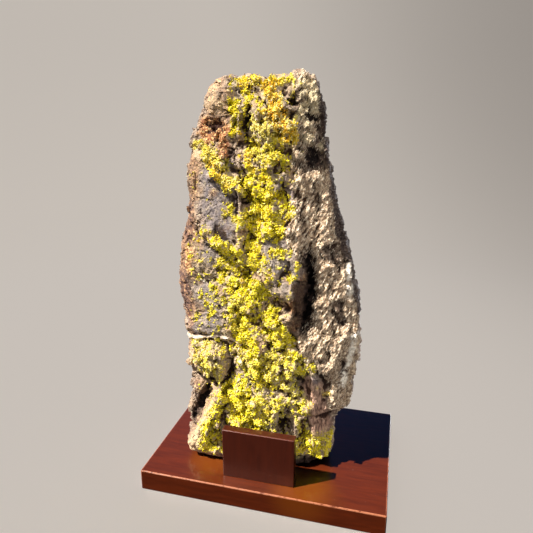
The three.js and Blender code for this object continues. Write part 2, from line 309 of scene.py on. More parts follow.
# %% [markdown]
# ## Where things lie on the rock
# A collector maps a specimen by its face. Here too a place is given in millimetres: x to the right
# from the board's middle, y behind it, and z above the board's top, on which the rock stands. Each
# patch of crust or colour is a stroke: a line from one place to another, how far it reaches to each
# side, and how strong it is.

# %% Survey of the rock
BOARD_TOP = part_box("base_board")[1].z
STROKE_EDGES = (1.4, 0.6)
NOISE_STEP = 17.3


def survey(places):
    """Places in metres in the frame, as millimetres from the board's middle and above its top."""
    return (places - np.array([0, 0, BOARD_TOP])) / MM


def smooth_step(values, low, high):
    """0 at low, 1 at high, and smooth between them, whichever of the two is larger."""
    share = np.clip((values - low) / (high - low), 0, 1)
    return share * share * (3 - 2 * share)


def stroked(places, strokes):
    """How strongly the strokes cover each place. A stroke is (x, z, to x, to z, reach, strength)."""
    cover = np.zeros(len(places))
    for x, z, to_x, to_z, reach, strength in strokes:
        run, rise = to_x - x, to_z - z
        share = (places[:, 0] - x) * run + (places[:, 2] - z) * rise
        share = np.clip(share / (run * run + rise * rise), 0, 1)
        apart = np.hypot(places[:, 0] - x - share * run, places[:, 2] - z - share * rise)
        cover = np.maximum(cover, strength * smooth_step(apart / reach, *STROKE_EDGES))
    return cover


def lumps(places, size, seed):
    """Smooth noise from about -1 to 1, in lumps of that size in millimetres."""
    shifted = places / size + NOISE_STEP * seed
    return np.array([noise.noise(place) for place in shifted.tolist()])


print("board top at", round(BOARD_TOP / MM, 2), "mm")

# %% [markdown]
# ## The crust's patches
# The crystals follow cracks and ledges down the middle of the face. They are thin and patchy above,
# where grey rock shows between them, and nearly closed below. Strokes are how a painter would block
# them in, and noise makes their edges ragged. The last six, wide and weak, strew single crystals
# about.

# %% Patches of crust, from the top down
CRUST = [
    (-28, 320, -8, 320, 5, 0.7), (-22, 316, -17, 309, 4, 0.8), (-28, 306, -27, 284, 4, 0.95),
    (-20, 302, -14, 290, 4, 0.65), (-7, 317, 3, 321, 4.5, 0.75), (0, 315, 6, 306, 4, 0.8),
    (3, 300, 16, 282, 6.4, 0.95), (12, 325, 18, 318, 3.2, 0.5), (16, 311, 17, 307, 2.4, 0.6),
    (-8, 290, 6, 282, 5.6, 0.8), (20, 297, 18, 291, 2.4, 0.6), (-56, 275, -47, 266, 4.8, 0.75),
    (-50, 270, -38, 258, 6.4, 0.9), (-44, 262, -30, 246, 6.4, 0.85), (-32, 250, -27, 246, 4, 0.7),
    (-14, 273, 8, 264, 5.6, 0.85), (2, 276, 12, 266, 4, 0.95), (-16, 262, -12, 252, 4.8, 0.85),
    (-18, 248, -10, 232, 6, 0.95), (-2, 250, -2, 232, 6, 0.95), (9, 238, 12, 232, 5, 0.85),
    (-31, 230, -31, 223, 3.5, 0.85), (8, 222, 18, 228, 4.5, 0.85), (-8, 258, -2, 256, 4, 0.5),
    (-24, 219, -22, 215, 3.5, 0.8), (-14, 220, -11, 208, 6.5, 0.95), (-2, 226, 4, 214, 7, 0.95),
    (10, 222, 10, 212, 5, 0.75), (-4, 206, 0, 208, 3, 0.6), (6, 206, 8, 206, 3, 0.8),
    (-41, 200, -24, 192, 5, 1), (-50, 208, -42, 204, 3.5, 0.5), (-12, 204, -11, 186, 6.5, 0.95),
    (8, 196, 16, 194, 4.5, 0.85), (22, 187, 23, 186, 3, 0.7), (20, 177, 22, 177, 3, 0.9),
    (-30, 188, -22, 180, 8, 0.75), (-38, 186, -34, 178, 5, 0.5), (-4, 192, -2, 182, 5, 0.6),
    (-16, 170, -3, 161, 8, 1), (-36, 176, -24, 164, 8, 0.6), (-24, 166, -20, 150, 8, 0.85),
    (-46, 162, -42, 156, 4.5, 0.7), (-50, 152, -46, 142, 5, 0.7), (-36, 152, -28, 140, 5, 0.5),
    (-22, 146, -20, 122, 9, 1), (-12, 150, -4, 132, 8, 0.55), (4, 142, 12, 120, 9, 0.95),
    (14, 132, 18, 118, 5, 0.85), (-38, 128, -28, 120, 4, 0.4), (-16, 120, -10, 104, 8, 0.9),
    (-62, 108, -40, 108, 7, 0.52), (-57, 98, -46, 90, 9, 0.58), (-50, 86, -42, 82, 4, 0.75),
    (-53, 100, -48, 92, 4, 0.75),
    (-60, 82, -56, 78, 4, 0.5), (-20, 112, -10, 92, 10, 0.9), (4, 106, 6, 84, 8, 0.75),
    (18, 110, 28, 98, 8, 0.75), (32, 104, 36, 96, 5, 0.6), (20, 92, 20, 66, 8, 0.6),
    (-22, 80, -36, 70, 6, 0.85), (-36, 70, -38, 50, 4, 0.55), (-24, 66, -16, 42, 14, 1),
    (-6, 62, -2, 46, 8, 0.85), (-2, 86, -8, 70, 6, 0.6), (-42, 56, -50, 34, 6, 0.75),
    (-48, 36, -55, 12, 6, 0.85), (-44, 30, -46, 14, 5, 0.6), (8, 66, 6, 44, 6, 0.6),
    (30, 72, 34, 58, 6, 0.7), (24, 60, 26, 50, 4, 0.5), (28, 46, 32, 38, 4, 0.6),
    (36, 32, 50, 28, 6, 0.9), (34, 22, 48, 12, 6, 1), (50, 30, 51, 16, 5, 0.9),
    (28, 26, 28, 12, 4, 0.8), (42, 80, 42.5, 79, 2.4, 1), (47, 74, 47.5, 73, 2.4, 1),
    (-30, 20, 20, 20, 14, 0.7),
    (-12, 320, 2, 264, 20, 0.34), (-14, 180, -12, 20, 28, 0.28), (-50, 110, -50, 20, 12, 0.22),
    (-52, 196, -50, 132, 14, 0.2), (10, 190, 12, 165, 9, 0.22), (-58, 250, -40, 225, 12, 0.1),
]
print(len(CRUST), "strokes of crust")

# %% [markdown]
# ## The other patches
# The rock itself changes over the face. Smooth grey-lilac slabs lie between the crusts. The left edge
# is weathered to tan and orange, darker towards the back, and a rusty patch of iron ore lies below
# the upper left corner. To the right of a ragged line, the face is fibrous quartz the colour of
# oatmeal, up to a second line where the right side begins, painted dark as shade. A bare purple-brown
# slab comes down to the foot, a thin white vein crosses the left side, and a white rim shows on the
# right. Some patches are pale, some crystals orange. Pits are carved in and painted dark as shade,
# three places are filled out, and painted shade darkens the crevice's walls, the notch and recess at
# the lower left and the underside of the foot.

# %% Patches of rock
SLABS = [
    (-40, 252, -38, 214, 15, 1), (-50, 198, -42, 186, 9, 0.8), (-54, 160, -48, 130, 10, 0.9),
    (16, 245, 14, 170, 9, 0.7), (-68, 132, -66, 124, 7, 1), (-16, 84, -20, 84, 6, 0.6),
    (-28, 320, -24, 314, 6, 0.6), (2, 205, 2, 190, 5, 0.9), (36, 84, 44, 36, 9, 0.8),
    (10, 184, 20, 180, 8, 0.9),
]
TAN_EDGE = [
    (-62, 268, -61, 235, 6, 0.7), (-70, 222, -69, 204, 10, 1), (-67, 192, -66, 170, 8, 0.8),
    (-76, 165, -70, 140, 9, 1), (-66, 150, -58, 142, 5, 0.7), (-74, 112, -68, 92, 7, 0.8),
    (-50, 66, -70, 8, 8, 1), (-60, 82, -57, 74, 5, 0.9), (0, 176, -2, 166, 5, 0.6),
    (6, 156, 17, 152, 6, 0.8), (-2, 142, -6, 118, 6, 0.7), (-46, 318, -41, 302, 9, 0.9),
    (-66, 2, -30, 2, 5, 0.9), (-38, 300, -33, 290, 5, 0.7), (-64, 60, -60, 58, 4, 0.8),
    (-58, 206, -54, 200, 5, 0.7),
]
RUST = [
    (-53, 291, -50, 282, 6, 1), (-44, 286, -38, 284, 6, 1), (-38, 284, -36, 268, 4.5, 1),
    (-65, 190, -66, 176, 4, 0.9), (-50, 202, -44, 199, 1.5, 0.9), (28, 172, 24, 134, 4, 0.8),
    (22, 156, 19, 150, 3, 0.8), (-70, 134, -68, 122, 4, 0.5), (12, 262, 16, 258, 3, 0.6),
    (-74, 196, -76, 176, 4, 0.4), (-60, 262, -62, 238, 4, 0.3), (-14, 206, -9, 206, 3, 0.6),
]
DARK_EDGE = [(-74, 250, -78, 190, 12, 0.8), (-80, 200, -76, 132, 15, 1), (-66, 186, -66, 160, 8, 0.7)]
PURPLE = [(33, 86, 37, 76, 5, 1), (40, 76, 45, 36, 8, 1)]
PALE = [
    (-6, 288, 8, 293, 9, 0.85), (2, 312, 8, 300, 7, 0.65), (12, 300, 14, 288, 5, 0.4),
    (-56, 275, -44, 264, 8, 0.52), (-40, 262, -30, 250, 7, 0.45), (-60, 108, -52, 84, 14, 0.5),
    (-48, 320, -42, 302, 8, 0.25), (-52, 64, -68, 12, 7, 0.35),
    (27, 318, 33, 302, 7, 0.6), (24, 299, 27, 290, 4, 0.5), (20, 296, 24, 304, 3, 0.8),
    (26, 284, 30, 279, 2.4, 0.45), (38, 275, 40, 271, 2.4, 0.6), (41, 261, 42, 258, 2.2, 0.7),
    (8, 102, 22, 74, 12, 0.35), (-4, 72, 8, 50, 7, 0.3), (-12, 268, 2, 264, 6, 0.38),
    (-24, 152, -20, 146, 5, 0.3), (-22, 102, -14, 96, 6, 0.45), (20, 46, 30, 42, 6, 0.45),
    (8, 90, 12, 84, 6, 0.3),
]
WHITE = [
    (69.5, 126, 68, 112, 2.8, 1), (68, 112, 65, 97, 2.8, 1), (63, 92, 61.5, 80, 2.6, 1),
    (-55, 169, -53, 168, 2, 0.7), (-21, 100, -19, 99, 2, 0.7), (61.5, 184, 65, 158, 2, 0.9),
]
VEIN = [
    (-90, 106, -60, 116, 1.5, 1), (-60, 116, -45, 119, 1.35, 1), (-45, 119, -33, 119, 1.2, 0.9),
    (-33, 119.5, -23, 113, 1.05, 0.8), (-23, 113, -26, 105, 1, 0.6),
]
ORANGE = [
    (0, 318, 6, 304, 6, 1), (6, 300, 16, 284, 9, 1), (-22, 322, -10, 319, 6, 0.6),
    (40, 87, 47, 73, 6, 1), (-20, 268, -12, 262, 5, 0.5), (-45, 258, -38, 252, 5, 0.5),
]
# Pits are carved, and also painted dark as shade.
PITS = [
    (-19, 297, -19, 288, 3, 0.75), (-7, 295, -5, 293, 3, 0.6), (-23, 240, -17, 230, 2, 0.6),
    (-17, 179, -12, 172, 3, 0.6), (-13, 206, -9, 206, 2.5, 0.68), (22, 137, 22, 126, 3, 0.75),
    (6, 117, 12, 115, 4, 0.6), (14, 54, 12, 38, 2.2, 0.8), (4, 47, 6, 45, 3, 0.6),
    (27, 87, 30, 83, 4, 0.75), (54, 152, 59, 138, 5, 0.75), (46, 194, 56, 186, 5, 0.75),
    (23, 308, 15, 297, 2, 0.6), (52, 112, 46, 104, 3, 0.45), (-28, 260, -21, 253, 2, 0.4),
    (31, 190, 34, 168, 3, 0.9), (34, 168, 31, 134, 3.5, 0.9), (36, 288, 41, 278, 3.6, 0.95),
    (29, 296, 40, 293, 3.2, 1), (29, 271, 40, 264, 4.4, 0.9), (33, 283, 35, 277, 2, 0.85),
    (24, 288, 28, 286, 1.8, 0.6), (22, 261, 34, 258, 2.5, 0.8), (32, 264, 44, 259, 4.6, 1),
    (24, 284, 22, 274, 2.5, 0.6), (29, 275, 27, 266, 3, 0.52),
    (19, 312, 15, 304, 1.6, 0.6), (-58, 73, -50, 76, 2.5, 0.9), (-58, 64, -60, 54, 3.5, 0.75),
    (-63, 50, -73, 29, 4.5, 0.75), (-31, 95, -34, 80, 2, 0.52), (-35, 80, -46, 73, 2, 0.52),
    (61, 102, 60, 92, 2, 0.68), (53, 200, 56, 190, 3, 0.6), (-33, 323, -27, 322, 2, 0.52),
]
FILLED = [(21.5, 309, 19.5, 301, 3, 1), (27, 284, 30, 279, 2, 0.5), (38, 274, 40, 272, 2, 0.6)]
# Painted shade: dark paint with no relief in the crevice, the notch and recess at the lower left and
# under the foot.
SHADE = [
    (31, 193, 35, 168, 4.5, 1), (34, 168, 31, 131, 6, 1), (28, 3, 54, 3, 5, 1),
    (27, 168, 26, 138, 5, 0.85), (-58, 73, -50, 76, 3, 1), (-60, 60, -73, 30, 4, 0.9),
]
QUARTZ_LINE = [
    (330, 20), (310, 22), (300, 21), (280, 19), (265, 18), (250, 17), (230, 18), (210, 17),
    (200, 19), (190, 29), (180, 32), (165, 34), (150, 33), (135, 28), (120, 24), (110, 30),
    (100, 37), (90, 47), (80, 48), (70, 50), (57, 53), (50, 90), (0, 90),
]
FLANK_LINE = [
    (330, 31), (310, 33.5), (290, 36.5), (270, 39.5), (250, 43.5), (230, 47.5), (210, 51), (200, 54),
    (190, 58), (180, 61.5), (170, 64), (160, 66.5), (150, 69), (140, 72), (125, 80), (0, 90),
]


def right_of_line(places, line, softness):
    """1 to the right of a line of (z, x) corners, 0 to its left."""
    heights, xs = zip(*sorted(line))
    edge = np.interp(places[:, 2], heights, xs)
    return smooth_step(places[:, 0] - edge, -softness, softness)


PATCHES = (SLABS, TAN_EDGE, RUST, DARK_EDGE, PURPLE, PALE, WHITE, VEIN, ORANGE, PITS, FILLED, SHADE)
print(sum(map(len, PATCHES)), "strokes of rock")

# %% [markdown]
# ## Painting the patches onto a mesh
# Each patch becomes a share from 0 to 1 at every vertex. The places are pushed about a little by
# noise before they are looked up, so that no edge is a clean curve, and only what faces the front
# takes the front's patches. The crust is broken up once more, into clumps a few millimetres across.

# %% Zones
CLUMP_STRENGTH = 0.85
FIBRE = np.array([0.45, 0.0, 0.89])
ACROSS = np.array([0.89, 0.0, -0.45])


def along_fibres(places, across, along):
    """The places measured in steps of those sizes, across the fibres and along them."""
    return np.stack([places @ ACROSS / across, places[:, 1] / across, places @ FIBRE / along], axis=1)


def pushed(places, size, seed):
    """A push along the face for each place, which changes over lumps of that size."""
    return np.stack([lumps(places, size, seed), 0 * places[:, 1], lumps(places, size, seed + 1)], axis=1)


def zones_of(places, normals):
    """Every patch's share at each place, by name."""
    def facing(low, high):
        """1 where the stone faces the front by more than high, 0 where by less than low."""
        return smooth_step(-normals[:, 1], low, high)

    front = facing(0.12, 0.5)
    wander = pushed(places, 8, 1)
    fray = pushed(places, 3, 3)
    near = places + 4 * wander + 2 * fray
    calm = places + 1.5 * wander + 0.5 * fray
    clumps = 0.95 * lumps(along_fibres(places, 3.2, 6.0), 1, 5) + 0.8 * lumps(places, 1.8, 6)
    bed = stroked(near, CRUST)
    crust = smooth_step(bed + CLUMP_STRENGTH * clumps, 0.5, 0.66) * smooth_step(bed, 0.02, 0.12)
    weathered = 0.75 * smooth_step(lumps(places, 12, 7), 0.15, 0.5)
    side = 0.5 + 0.5 * front
    purple = stroked(calm, PURPLE) * front
    gaps = smooth_step(lumps(places, 3.5, 8), -0.45, -0.1)
    white = stroked(calm, WHITE) * facing(-0.2, 0.2) * gaps
    vein = stroked(places + 0.8 * wander, VEIN) * facing(-0.5, 0.1)
    # Pits and shade strokes are painted dark as shade; pits are also carved.
    pit = stroked(near, PITS) * front
    shade = stroked(calm, SHADE) * facing(-0.7, -0.3)
    # The flank, the rock's right side, is painted dark as shade.
    flank = right_of_line(calm, FLANK_LINE, 0.8)
    quartz = right_of_line(near, QUARTZ_LINE, 1.5) * facing(0.1, 0.4)
    return {
        "crust": crust * front * (1 - vein) * (1 - 0.8 * purple) * (1 - 0.9 * shade) * (1 - 0.7 * pit),
        "bed": bed * front * (1 - 0.5 * stroked(near, SLABS)),
        "pale": stroked(near, PALE) * front,
        "slab": stroked(near, SLABS) * front,
        "tan": np.maximum(stroked(near, TAN_EDGE), weathered) * side,
        "rust": stroked(near, RUST) * side,
        "edge": stroked(near, DARK_EDGE) * side,
        "purple": purple,
        "white": white,
        "vein": vein,
        "orange": stroked(near, ORANGE) * front,
        "pit": pit,
        "shade": shade,
        "filled": stroked(calm, FILLED) * front,
        "shown": facing(-0.75, -0.2),
        "flank": flank,
        "quartz": quartz * (1 - purple) * (1 - flank) * (1 - white) * (1 - 0.85 * pit),
    }


# %% [markdown]
# ## The rock's fine mesh
# The solid of the rock has faces about five millimetres wide. To carry finer relief, a copy of it is
# remeshed in small even squares and softened a little, so that no facet of the solid shows as such.
# Remeshing is chosen over subdividing because it also closes the solid's crystals and its rock into
# one skin.

# %% Rock mesh
VOXEL = 0.85
SOFTENING = 4
SAME_PLACE = 0.001


def add_modifier(piece, kind, **settings):
    made = piece.modifiers.new(kind.lower(), kind)
    for setting, value in settings.items():
        setattr(made, setting, value)


def take_mesh(piece):
    """Applies the piece's modifiers, which gives it a mesh of its own."""
    seen = piece.evaluated_get(bpy.context.evaluated_depsgraph_get())
    mesh = bpy.data.meshes.new_from_object(seen)
    mesh.name = piece.name
    piece.modifiers.clear()
    piece.data = mesh


rough_copy = bmesh.new()
rough_copy.from_mesh(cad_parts["specimen"].data)
bmesh.ops.remove_doubles(rough_copy, verts=rough_copy.verts, dist=SAME_PLACE * MM)
rock = piece_of(rough_copy, "rock", smooth=True)
rock.data.materials.clear()
add_modifier(rock, "REMESH", mode="VOXEL", voxel_size=VOXEL * MM, use_smooth_shade=True)
add_modifier(rock, "SMOOTH", factor=0.5, iterations=SOFTENING)
take_mesh(rock)
print("rock mesh has", len(rock.data.vertices), "vertices")

# %% [markdown]
# ## Relief
# Broken stone has relief at every size. Facets come from cells, each a plane tipped its own way, as
# a hammer leaves them. Finer lumps are plain noise. The quartz grew as fibres that run down to the
# left, so its noise is drawn out along them and folded into ridges, and tipped planes overlap there
# like shingles. Near the top it is clods with cracks between them. The crust swells in small tipped
# knobs, and the grey slabs stay nearly flat. The worn back has larger, softer facets. Near the board
# the relief fades, so that the rock stands flat.

# %% Reading a mesh's numbers
def vertex_numbers(mesh):
    """The places, in metres, and the normals of a mesh's vertices."""
    places = np.empty(len(mesh.vertices) * 3)
    normals = np.empty(len(mesh.vertices) * 3)
    mesh.vertices.foreach_get("co", places)
    mesh.vertex_normals.foreach_get("vector", normals)
    return places.reshape(-1, 3), normals.reshape(-1, 3)


def relaxed(mesh, values, rounds):
    """Each vertex's values, averaged with its neighbours' values that many times."""
    ends = np.empty(len(mesh.edges) * 2, dtype=np.int64)
    mesh.edges.foreach_get("vertices", ends)
    here, there = np.concatenate([ends.reshape(-1, 2), ends.reshape(-1, 2)[:, ::-1]]).T
    shares = np.bincount(here)
    for _ in range(rounds):
        columns = [np.bincount(here, weights=column[there]) / shares for column in values.T]
        values = np.stack(columns, axis=1)
    return values


# %% Broken faces and cracks
CELL_STEP = 11.1


def broken(cells, tilt, seed, rise=0.0):
    """Steps and tilts of broken faces, one plane to a cell, with cells one unit wide.
    Each face leans its own way. A rise tips all of them up along the first axis as well."""
    offsets = []
    for place in (cells + CELL_STEP * seed).tolist():
        middle = noise.voronoi(place)[1][0]
        lean = noise.cell_vector(middle * 5.0) - Vector((0.5 - rise, 0.5, 0.5))
        offsets.append((Vector(place) - middle).dot(lean))
    return tilt * np.array(offsets)


def cracks(places, seed):
    """1 along thin winding lines about one unit apart, 0 between them."""
    return smooth_step(np.abs(lumps(places, 1, seed)), 0.12, 0.03)


# %% Relief of the rock
FOOT_FADE = (0.5, 5.0)
RIM_SQUARED = 5.5
CLOD_HEIGHTS = (235, 260)
CRUST_RISE = 0.1
WHITE_RISE = 1.2
VEIN_RISE = 1.4
FILLING = 3.5
PIT_DEPTH = 2.8
CALMING = 12


def relief(mesh, places, zones):
    """How far each place stands out, in millimetres. The sizes of the patterns are millimetres too."""
    shown = zones["shown"]
    small = 4.5 * broken(places / 4.5, 0.6, 2) * (0.3 + 0.7 * shown)
    large = 22 * broken(places / 22, 0.35, 4) * (1 - shown)
    facets = 12 * broken(places / 12, 0.5, 1) + small + large
    worn = relaxed(mesh, facets[:, None], 2)[:, 0]
    facets = worn + (facets - worn) * shown
    creases = 1 - 2.4 * np.abs(lumps(places, 4.2, 11))
    fine = (0.55 * creases + 0.45 * lumps(places, 1.7, 12)) * (0.45 + 0.55 * shown)
    rough = (1 - 0.8 * zones["slab"]) * (1 - 0.4 * zones["tan"])
    folds = 1 - 2.6 * np.abs(lumps(along_fibres(places, 2.2, 8), 1, 21))
    gullies = 1 - 2.6 * np.abs(lumps(along_fibres(places, 5.0, 15), 1, 22))
    high = smooth_step(places[:, 2], *CLOD_HEIGHTS)
    clods = (0.4 + 2.0 * high) * lumps(places, 6.5, 23) - 3.0 * high * cracks(places / 7.5, 24)
    shingles = 3.1 * broken(along_fibres(places, 3.1, 10.5), 0.7, 3, rise=0.8)
    fibres = 0.7 * folds + 1.1 * gullies + shingles + clods
    knobs = 2.7 * broken(along_fibres(places, 2.6, 4.8), 0.8, 31, rise=0.8)
    knobs = CRUST_RISE + (knobs + 0.5 * lumps(places, 5.0, 32)) + 0.5 * zones["orange"] * shingles
    out = (facets + fine) * rough * (1 - 0.5 * zones["quartz"])
    out = out + zones["quartz"] * fibres + zones["crust"] * knobs
    out = out + zones["white"] * (WHITE_RISE + shingles)
    return out + VEIN_RISE * zones["vein"] + FILLING * zones["filled"] - PIT_DEPTH * zones["pit"]


def rim(normals):
    """1 where the rock turns from its face to its right side, 0 on the face and behind."""
    return smooth_step(normals[:, 0], 0.2, 0.85) * smooth_step(-normals[:, 1], -0.35, 0.15)


def measured(mesh):
    """The places and normals of a mesh's vertices, their calmed normals, and their zones."""
    places, normals = vertex_numbers(mesh)
    calm_normals = relaxed(mesh, normals, CALMING)
    return places, normals, calm_normals, zones_of(survey(places), calm_normals)


places, normals, calm_normals, zones = measured(rock.data)
standing = smooth_step(survey(places)[:, 2], *FOOT_FADE)
offset = relief(rock.data, survey(places), zones) * standing
shaped = places + normals * (offset * MM)[:, None]
shaped[:, 1] -= RIM_SQUARED * MM * rim(calm_normals) * standing
shaped[:, 2] = np.maximum(shaped[:, 2], BOARD_TOP)
rock.data.vertices.foreach_set("co", shaped.ravel())
rock.data.update()
print("relief from", round(offset.min(), 2), "to", round(offset.max(), 2), "mm")

# %% [markdown]
# ## Fewer triangles
# The fine mesh is thinned until it is light enough to share. Collapsing edges keeps the rough places
# fine and spends little on the flat ones. The back is seen less, so it is thinned first by itself,
# to a third, and then the whole rock. In one round the back would collapse.

# %% Thinning
ROCK_TRIANGLES = 195_000
BACK_SPARED = 0.35


def thin(target, where=""):
    """Thins the rock to about that many triangles, everywhere or in one vertex group."""
    before = len(rock.data.polygons)
    add_modifier(rock, "DECIMATE", ratio=target / before, vertex_group=where)
    take_mesh(rock)
    print("thinned from", before, "to", len(rock.data.polygons), "triangles")


back = np.flatnonzero(calm_normals[:, 1] > 0.0)
rock.vertex_groups.new(name="back").add(back.tolist(), 1.0, "REPLACE")
add_modifier(rock, "TRIANGULATE")
take_mesh(rock)
back_share = len(back) / len(rock.data.vertices)
thin(len(rock.data.polygons) * (1 - back_share * (1 - BACK_SPARED)), where="back")
thin(ROCK_TRIANGLES)

# %% [markdown]
# ## Shares for the paint
# The paint needs to know the patches and where the hollows are, because the hollows are darkened,
# partly for dirt and iron stain that gather there and partly as painted shade. A hollow is where a
# vertex lies under the average of its neighbours. Crystals and chips are grown from the same shares.
# On the worn back the hollows are weaker.

# %% Zones and hollows as attributes
HOLLOW_DEPTHS = (-0.6, 1.0)


def keep_share(mesh, name, share):
    attribute = mesh.attributes.new(name, "FLOAT", "POINT")
    attribute.data.foreach_set("value", share.astype(np.float32))


places, normals, calm_normals, zones = measured(rock.data)
for name, share in zones.items():
    keep_share(rock.data, name, share)
near_mean = relaxed(rock.data, places, 4)
far_mean = relaxed(rock.data, near_mean, 50)
depth = ((0.6 * near_mean + 0.4 * far_mean - places) * calm_normals).sum(axis=1) / MM
hollow = smooth_step(depth, *HOLLOW_DEPTHS) * (0.65 + 0.35 * zones["shown"])
keep_share(rock.data, "hollow", hollow)
print("crust covers", round(float(zones["crust"].mean()), 3), "of the vertices")

# %% [markdown]
# ## Rock finish
# One material paints the whole rock, layer over layer: brown rock and grey slate first, then the
# patches from the weathered edge to the vein, among them the right side painted dark as shade, and
# last the painted shade in the pits and the crevice, and the hollows darkened, part stain and part
# painted shade. Every layer has its own mottling, because a flat colour never reads as stone. Stone
# is dull, so the roughness stays high, and bump adds the grain that is finer than the mesh.

# %% Rock finish
DARK_SPECK = paint(82, 66, 60)
EDGE_DARKENING = 0.09


def rock_finish():
    f = Finish("vein_rock")
    cloud = f.grain(14, detail=4.0, Roughness=0.6)
    speck = f.grain(1.6, detail=3.0, Roughness=0.65)
    grit = f.grain(0.7, detail=2.0)
    brown = f.shades(cloud, (0.3, 108, 90, 80), (0.5, 146, 124, 108), (0.7, 186, 160, 132))
    mottled = f.mix(f.step(speck, 0.46, 0.36), brown, paint(206, 188, 160))
    slate = f.shades(f.grain(4.5, detail=5.0, Roughness=0.7), (0.38, 92, 90, 104),
                     (0.5, 127, 120, 130), (0.62, 184, 168, 154))
    colour = f.mix(f.share("slab", 0.75), mottled, slate)
    colour = f.mix(f.step(speck, 0.54, 0.66), colour, DARK_SPECK)
    blotch = f.grain(3.2, detail=4.0, Roughness=0.7)
    weathering = f.maths("SUBTRACT", blotch, f.share("edge", EDGE_DARKENING))
    tan = f.shades(weathering, (0.34, 84, 64, 60), (0.46, 132, 98, 80), (0.56, 186, 144, 106),
                   (0.66, 238, 212, 164))
    tan = f.mix(f.share("pale"), tan, paint(236, 214, 172))
    rust = f.shades(speck, (0.35, 100, 54, 36), (0.52, 170, 110, 64), (0.62, 234, 204, 146))
    streak = f.grain(1.5, detail=3.0, stretch=(1, 1, 0.3))
    purple = f.shades(streak, (0.38, 112, 82, 70), (0.62, 214, 174, 148))
    quartz = f.shades(f.grain(2.2, detail=3.0), (0.34, 112, 88, 72), (0.5, 200, 172, 140),
                      (0.62, 244, 226, 198))
    quartz = f.mix(f.share("pale", 0.8), quartz, paint(232, 218, 174))
    # Painted shade: the right side, which turns from the sun, is painted dark.
    painted_shade_side = f.mix(f.step(speck, 0.52, 0.64), mottled, DARK_SPECK)
    painted_shade_side = f.mix(1.0, painted_shade_side, paint(150, 146, 152), blend="MULTIPLY")
    bed = f.shades(speck, (0.36, 140, 116, 80), (0.5, 224, 202, 150), (0.62, 248, 236, 186))
    sugar = f.shades(speck, (0.34, 172, 154, 44), (0.52, 218, 200, 60), (0.68, 236, 222, 100))
    white = f.shades(speck, (0.34, 214, 190, 160), (0.42, 255, 246, 230))
    layers = [("tan", 1.0, tan), ("rust", 1.0, rust), ("purple", 1.0, purple), ("quartz", 1.0, quartz),
              ("flank", 1.0, painted_shade_side), ("bed", 0.7, bed), ("crust", 0.85, sugar),
              ("white", 1.0, white), ("vein", 1.0, paint(232, 212, 190))]
    for name, strength, over in layers:
        colour = f.mix(f.share(name, strength), colour, over)
    # Painted shade: pits and shade strokes go nearly black-brown.
    pit_and_crevice_shade = f.maths("MAXIMUM", f.share("pit", 0.85), f.share("shade"))
    colour = f.mix(pit_and_crevice_shade, colour, paint(60, 42, 35))
    # The hollows darken, partly as dirt and iron stain and partly as painted shade.
    hollow_shade_and_stain = f.step(f.share("hollow"), 0.5, 0.95)
    colour = f.mix(hollow_shade_and_stain, colour, paint(96, 74, 64), blend="MULTIPLY")
    rough = f.node("ShaderNodeMapRange", {"Value": grit, "To Min": 0.65, "To Max": 0.95})
    return f.finish(Base_Color=colour, Roughness=rough, Normal=f.bump(grit, 0.5, f.bump(speck, 1.0)),
                    Specular_IOR_Level=0.4)


rock.data.materials.clear()
rock.data.materials.append(rock_finish())
rock.data.shade_flat()
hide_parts("specimen")

# %% [markdown]
# ## One crystal
# Pyromorphite grows as short six-sided barrels with flat ends. One is enough: a cone with equal ends
# makes the prism, and a cut round its waist is swelled. At this size a softened rim would never show.
# The crystal is one unit tall, its root goes into the rock, and it remembers how far up each corner
# is, so that its paint can change from root to tip.

# %% One crystal
BARREL = 0.8
ROOT_DEPTH = 0.35
WAIST = 1.16


def crystal():
    bm = bmesh.new()
    bmesh.ops.create_cone(bm, cap_ends=True, segments=6, radius1=BARREL, radius2=BARREL, depth=1.0)
    bmesh.ops.translate(bm, verts=bm.verts, vec=(0, 0, 0.5))
    every = bm.verts[:] + bm.edges[:] + bm.faces[:]
    cut = bmesh.ops.bisect_plane(bm, geom=every, plane_co=(0, 0, 0.5), plane_no=(0, 0, 1))
    waist = [part for part in cut["geom_cut"] if isinstance(part, bmesh.types.BMVert)]
    bmesh.ops.scale(bm, verts=waist, vec=(WAIST, WAIST, 1))
    bmesh.ops.translate(bm, verts=bm.verts, vec=(0, 0, -ROOT_DEPTH))
    tip = bm.verts.layers.float.new("tip")
    for vert in bm.verts:
        vert[tip] = vert.co.z + ROOT_DEPTH
    return bm


def triangles(piece):
    return sum(len(face.vertices) - 2 for face in piece.data.polygons)


crystal_shape = piece_of(crystal(), "crystal_shape")
print("a crystal has", triangles(crystal_shape), "triangles")

# %% [markdown]
# ## Growing
# More than eleven thousand crystals can't be placed by hand. Geometry Nodes scatters points on the
# rock, no closer than a spacing and only as thickly as the patch's share allows, and stands a shape
# on each. A crystal points out of the rock and upwards, but neighbours lean alike, because they grew
# from the same lump, so noise a few millimetres wide bends their direction. Where the share is weak
# they are smaller. What grows is realized into one plain mesh.

# %% Growing
CROWDING = 3.0
UPWARD = (0.55, 0, 0.9)
LEAN_LUMPS = 5
JITTER = 0.3
VIGOUR = (0.65, 1.05)


